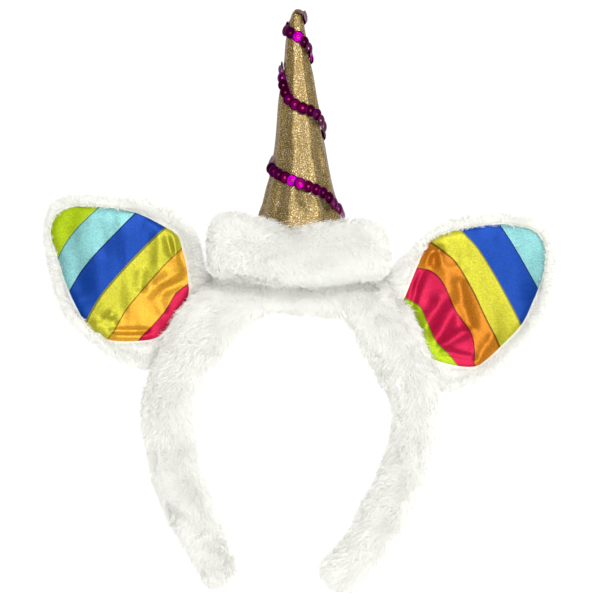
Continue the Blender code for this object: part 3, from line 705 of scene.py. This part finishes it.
# Rings of the shell: the outline drawn in by each profile row's inset, at its level, with the rows past
# the widest one kept outside the satin, then round the crest into the hollow
def earGrid(side):
    ear = earSides[side]
    turn, outer = earReach(ear["plush"], ears["turns"])
    inner = earReach(ear["lining"], ears["turns"])[1] + ears["lip"]
    profile = flowThrough(ears["profile"], 32)
    reach = outer - ears["inset"] - profile[:, :1] * ears["thickness"]
    widest = reach.mean(axis=1).argmax()
    spare = 0.12 * mm * np.arange(len(reach) - widest)[::-1, None]
    reach[widest:] = np.maximum(reach[widest:], inner + spare)
    level = profile[:, 1:] * (ears["thickness"] - ears["inset"]) + 0 * reach
    dip = np.linspace(0, 1, ears["rim"])[1:, None]
    crest = reach[-1] + (inner - reach[-1]) * dip
    reach = np.vstack([reach, crest, inner - 1.5 * mm])
    lip = level[-1] + (ears["mouth"] - level[-1]) * dip**2
    level = np.vstack([level, lip, ears["hollow"] + 0 * turn[None]])
    x = ear["middle"][0] + reach * np.cos(turn)
    y = ear["middle"][1] + reach * np.sin(turn)
    grid = np.stack([x, y, np.maximum(level, backingGap)], axis=-1)
    return grid, turn


# Comb: outwards everywhere. Up to the crest the hair stands up, past it the hair lies down and gets shorter
def buildEar(side):
    grid, turn = earGrid(side)
    grid, sunk = clearOfBand(grid, 0.3 * mm)
    core = skin(f"earShell{side}", grid, shadedBackingLook)
    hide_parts(f"ear_{side.lower()}")
    outwards = np.stack([np.cos(turn), np.sin(turn), 0 * turn], axis=-1)[None] + 0 * grid
    rows = np.arange(len(grid))[:, None] + 0 * grid[..., 0]
    crest = len(grid) - ears["rim"] - 1
    upright = np.exp(-(((rows - crest) / 6) ** 2))
    past = np.clip((rows - crest) / (ears["rim"] - 1), 0, 1)
    comb = outwards + np.array([0.0, -0.15, 0.0])
    keep = ~sunk * (1 + 3.0 * upright) * (rows < len(grid) - 2)
    stand = 1 + 0.3 * upright - 0.8 * past
    size = 1 - 0.25 * upright - 0.35 * past
    count = sowFur(f"earFur{side}", grid, earFur, comb, keep, stand, size)
    print(f"ear {side}:", count, "strands")


satin = {
    "height": 9.9 * mm, "crown": 2.3 * mm, "roll": 0.9 * mm, "fold": 2.3 * mm, "pucker": 0.24 * mm,
    "rows": 56, "swell": 0.38 * mm, "swellSize": 24 * mm, "crease": 0.07 * mm, "creaseSize": 9 * mm,
    "lime": "92A808", "pale": "70A4A4", "blue": "023688", "yellow": "A8A428", "orange": "C89428",
    "tangerine": "B46E16", "magenta": "AE0E3C", "roughness": 0.42, "sheen": 0.45, "outermost": 9 * mm,
}
# Seams between the stripes: two ends, and the bow towards the ear's tip at five shares of the way, all in
# the photograph's pixels
seamShares = [0, 0.1, 0.25, 0.5, 0.75, 0.9, 1]
stripes = {
    "Left": {
        "colours": ["lime", "pale", "blue", "yellow", "orange", "magenta"],
        "seams": [
            ((99.7, 205.8), (56.9, 259.4), (1.2, 2.5, 4.2, 3.6, 1.8)),
            ((135.4, 212.5), (68.8, 291.5), (1, 2, 3.8, 4, 2)),
            ((165.7, 227.5), (86, 321.2), (1.8, 3.6, 5.2, 5.2, 2.6)),
            ((180.3, 249.7), (113.6, 331.5), (1.5, 3, 4, 4.2, 2.1)),
            ((187.5, 284.2), (143.9, 333.9), (1.4, 2.7, -0.5, -1, -0.5)),
        ],
    },
    "Right": {
        "colours": ["pale", "blue", "yellow", "tangerine", "magenta", "lime"],
        "seams": [
            ((499.8, 223.5), (539.3, 289.8), (0.4, 0.8, 0.8, 0.4, 0.2)),
            ((459, 227.9), (521.7, 325.2), (2.5, 5.1, 4.8, 3, 1.5)),
            ((430.2, 241.6), (500.8, 348), (5, 10, 8.5, 3.8, 1.9)),
            ((415.5, 267.7), (473.7, 364), (12, 15.9, 12.5, 14, 8)),
            ((404.1, 297.8), (449.6, 354.7), (3.5, 7, 2, -2, -1)),
        ],
    },
}
folds = {  # start and end in the photograph's pixels, width in mm, and rise as a share of the fold
    "Left": [
        ((172, 232), (176, 250), 2.0, 0.8), ((168, 240), (171, 252), 1.9, -0.8),
        ((160, 240), (158, 262), 2.6, 0.35), ((141, 275), (140, 286), 3.0, -0.5),
        ((95, 327), (111, 316), 2.6, 0.8), ((102, 320), (113, 321), 2.2, -0.7),
        ((113, 331), (146, 331), 1.6, -0.9), ((116, 337), (146, 337), 1.8, 0.6),
        ((154, 300), (161, 311), 3.2, -0.7), ((163, 291), (187, 280), 2.8, -0.9),
        ((160, 283), (184, 270), 2.8, 0.6), ((180, 255), (187, 272), 1.8, -0.5),
        ((150, 292), (158, 318), 3.2, 0.5),
    ],
    "Right": [
        ((424, 267), (430, 252), 1.9, 0.8), ((430, 252), (439, 250), 1.9, 0.8),
        ((439, 250), (441, 263), 1.9, 0.7), ((434, 259), (435, 263), 2.2, -1.1),
        ((424, 268), (417, 285), 2.2, -0.8), ((417, 285), (410, 316), 2.0, -0.7),
        ((426, 326), (439, 304.5), 4.0, 0.9), ((455.5, 304.5), (438, 338), 4.2, -0.9),
        ((443, 344), (466, 331.5), 3.0, 0.9), ((445, 352), (473, 358.5), 2.2, -0.8),
        ((459.5, 284), (469, 325), 3.2, -1.0), ((477, 362), (492, 338), 3.0, 0.7),
        ((447, 270), (462, 268), 3.6, 0.5),
    ],
}


# A spot in the photograph's pixels to metres: its way from the middle times the size of a pixel
def fromPhoto(spot):
    return (np.array(spot) - photoMiddle) * pixel


# Stripe number at a point: between two seams, the share of the way from one to the other by distance.
# Distance from a seam: from its chord, plus the bow at the point's share of the chord
def stripeAt(side, places):
    far = []
    for start, end, bow in stripes[side]["seams"]:
        start, end = fromPhoto(start), fromPhoto(end)
        run = end - start
        inward = unit(np.array([run[1], -run[0]])) * (-1 if side == "Left" else 1)
        inward = inward * np.sign(-inward[1])
        share = np.clip((places - start) @ run / (run @ run), 0, 1)
        bows = flowThrough(np.column_stack([seamShares, [0, *bow, 0]]), 80)
        bend = np.interp(share, bows[:, 0], bows[:, 1]) * pixel[0]
        far.append((places - start) @ inward + bend)
    outermost = satin["outermost"]
    far = np.column_stack([far[0] + outermost, *far, far[-1] - outermost])
    low = np.clip((far >= 0).sum(axis=1) - 1, 0, far.shape[1] - 2)
    k = np.arange(len(places))
    a, b = far[k, low], far[k, low + 1]
    return np.clip(low + a / np.maximum(a - b, 1e-6), 0.02, far.shape[1] - 1.02)


# Height of the folds: each is a bell curve of the distance from its line
def foldHeight(side, places):
    high = np.zeros(len(places))
    for start, end, width, rise in folds[side]:
        start, end = fromPhoto(start), fromPhoto(end)
        run = end - start
        share = np.clip((places - start) @ run / (run @ run), 0, 1)
        away = np.linalg.norm(places - start - share[:, None] * run, axis=1)
        high += rise * np.exp(-((away / (width * mm)) ** 2))
    return high * satin["fold"]


# Satin: flat stripes of colour with a dark stitched line between them, speckled thread by thread
def satinLook(side):
    look, nodes, links, shader = newLook(f"stripedSatin{side}", Roughness=satin["roughness"],
                                         Metallic=satin["sheen"], Specular_IOR_Level=0.2)
    place = addNode(nodes, "ShaderNodeUVMap", (-1100, 0), uv_map="OFBake")
    split = addNode(nodes, "ShaderNodeSeparateXYZ", (-900, 0))
    tint = addNode(nodes, "ShaderNodeValToRGB", (-600, 100))
    names = stripes[side]["colours"]
    stops = []
    for k, name in enumerate(names):
        shade = np.array(colour(satin[name]))
        if k:
            stops.append(((k - 0.03) / len(names), tuple(shade * (0.35, 0.35, 0.35, 1))))
        stops.append(((k + 0.03 if k else 0) / len(names), tuple(shade)))
    fillRamp(tint, stops, steps=True)
    spot = addNode(nodes, "ShaderNodeTexCoord", (-1100, -300))
    weave = addNode(nodes, "ShaderNodeTexNoise", (-900, -300), Scale=1300.0, Detail=1.0)
    speck = addNode(nodes, "ShaderNodeValToRGB", (-600, -200))
    fillRamp(speck, [(0.3, (0.8, 0.8, 0.8, 1)), (0.7, (1.15, 1.15, 1.15, 1))])
    blend = addNode(nodes, "ShaderNodeMix", (-300, 100), data_type="RGBA", blend_type="MULTIPLY")
    blend.inputs[0].default_value = 1
    creases = addNode(nodes, "ShaderNodeTexNoise", (-600, -500), Scale=160.0, Detail=2.0)
    bump = addNode(nodes, "ShaderNodeBump", (-300, -400), Strength=0.2, Distance=0.0008)
    links.new(place.outputs[0], split.inputs[0])
    links.new(split.outputs["X"], tint.inputs[0])
    links.new(spot.outputs["Object"], weave.inputs["Vector"])
    links.new(weave.outputs["Fac"], speck.inputs[0])
    links.new(tint.outputs[0], blend.inputs[6])
    links.new(speck.outputs[0], blend.inputs[7])
    links.new(blend.outputs[2], shader.inputs["Base Color"])
    links.new(spot.outputs["Object"], creases.inputs["Vector"])
    links.new(creases.outputs["Fac"], bump.inputs["Height"])
    links.new(bump.outputs[0], shader.inputs["Normal"])
    return look


# Panel: rings from the middle to the outline. Height: the level, a crown that falls with the square of the
# share, a rolled edge with its 14th power, the folds, and puckers that grow towards the seam
def buildLining(side):
    ear = earSides[side]
    turn, edge = earReach(ear["lining"], ears["turns"])
    share = np.linspace(0.02, 1, satin["rows"])[:, None] ** 0.8
    reach = (edge + 0.2 * mm) * share
    local = np.stack([reach * np.cos(turn), reach * np.sin(turn)], axis=-1)
    places = (local + np.array(ear["middle"])).reshape(-1, 2)
    high = foldHeight(side, places).reshape(reach.shape) * (1 - share**12)
    ripples = np.stack([turn * 30 * mm + 0 * reach, reach * 0.25], axis=-1)
    pucker = satin["pucker"] * drift(ripples, 9 * mm, 61)
    swell = satin["swell"] * drift(local, satin["swellSize"], 62)
    crease = satin["crease"] * drift(local * np.array([1, 0.6]), satin["creaseSize"], 63)
    high = high + pucker * share**3 * (1 - share**12) + (swell + crease) * (1 - share**12)
    high = high + satin["height"] + satin["crown"] * (1 - share**2) - satin["roll"] * share**14
    grid = np.stack([local[..., 0] + ear["middle"][0], local[..., 1] + ear["middle"][1], high], axis=-1)
    across = stripeAt(side, grid[..., :2].reshape(-1, 2)).reshape(reach.shape)
    across = across / len(stripes[side]["colours"])
    uv = np.stack([across, local[..., 1] / ears["height"] + 0.5], axis=-1)
    piece = skin(f"satin{side}", grid[::-1], satinLook(side), poles=(False, True), uv=uv[::-1])
    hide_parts(f"ear_lining_{side.lower()}")


# Studio

studio = {
    "lens": 200, "floor": 0.08, "glow": 0.98, "frameSize": 600, "focusLevel": 12 * mm,
    "sky": [(0.0, 0.15), (0.5, 0.34), (0.85, 0.62), (1.0, 0.80)], "skyTilt": 12,
    "key": (0.5, 3.4, (0.6, 0.35, 1.0)), "fill": (0.8, 6, (0.0, -0.75, 1.1)),
    "top": (0.18, 5.4, (0.05, 0.6, 1.2)), "front": (0.8, 8.9, (0.04, -0.22, 1.55)),
}


# A floor that glows, lamps aimed at the origin, a sky that brightens with height, and a camera straight
# above, as far up as makes a pixel half a millimetre
def buildStudio():
    bpy.ops.mesh.primitive_plane_add(size=12, location=(0, 0, -0.2 * mm))
    floor = bpy.context.object
    floor.name = "floor"
    floor.data.materials.append(newLook("paleFloor", Base_Color=(*[studio["floor"]] * 3, 1), Roughness=0.9,
                                        Specular_IOR_Level=0.0, Emission_Color=(1, 1, 1, 1),
                                        Emission_Strength=studio["glow"])[0])
    for name in ("key", "fill", "top", "front"):
        size, power, spot = studio[name]
        lamp = bpy.data.lights.new(name, "AREA")
        lamp.size = size
        lamp.energy = power
        lit = bpy.data.objects.new(name, lamp)
        lit.location = spot
        lit.rotation_euler = (-Vector(spot)).to_track_quat("-Z", "Y").to_euler()
        bpy.context.collection.objects.link(lit)
    sky = bpy.data.worlds.new("softSky")
    sky.use_nodes = True
    nodes, links = sky.node_tree.nodes, sky.node_tree.links
    way = addNode(nodes, "ShaderNodeTexCoord", (-900, 0))
    lean = addNode(nodes, "ShaderNodeMapping", (-800, 0))
    lean.inputs["Rotation"].default_value = (0, -math.radians(studio["skyTilt"]), 0)
    rise = addNode(nodes, "ShaderNodeSeparateXYZ", (-600, 0))
    glow = addNode(nodes, "ShaderNodeValToRGB", (-400, 0))
    fillRamp(glow, [(spot, (*[level] * 3, 1)) for spot, level in studio["sky"]])
    links.new(way.outputs["Generated"], lean.inputs["Vector"])
    links.new(lean.outputs[0], rise.inputs[0])
    links.new(rise.outputs["Z"], glow.inputs[0])
    links.new(glow.outputs[0], nodes["Background"].inputs["Color"])
    bpy.context.scene.world = sky
    bpy.context.scene.view_settings.view_transform = "Standard"
    cam = bpy.data.cameras.new("camera")
    cam.lens = studio["lens"]
    cam.clip_end = 20
    view = bpy.data.objects.new("camera", cam)
    away = cam.lens / cam.sensor_width * studio["frameSize"] * pixel[0]
    view.location = (0.0002, 0.0002, studio["focusLevel"] + away)
    bpy.context.collection.objects.link(view)
    bpy.context.scene.camera = view


buildBand()
buildPad()
buildHorn()
buildSequins()
for side in earSides:
    buildEar(side)
    buildLining(side)
buildStudio()
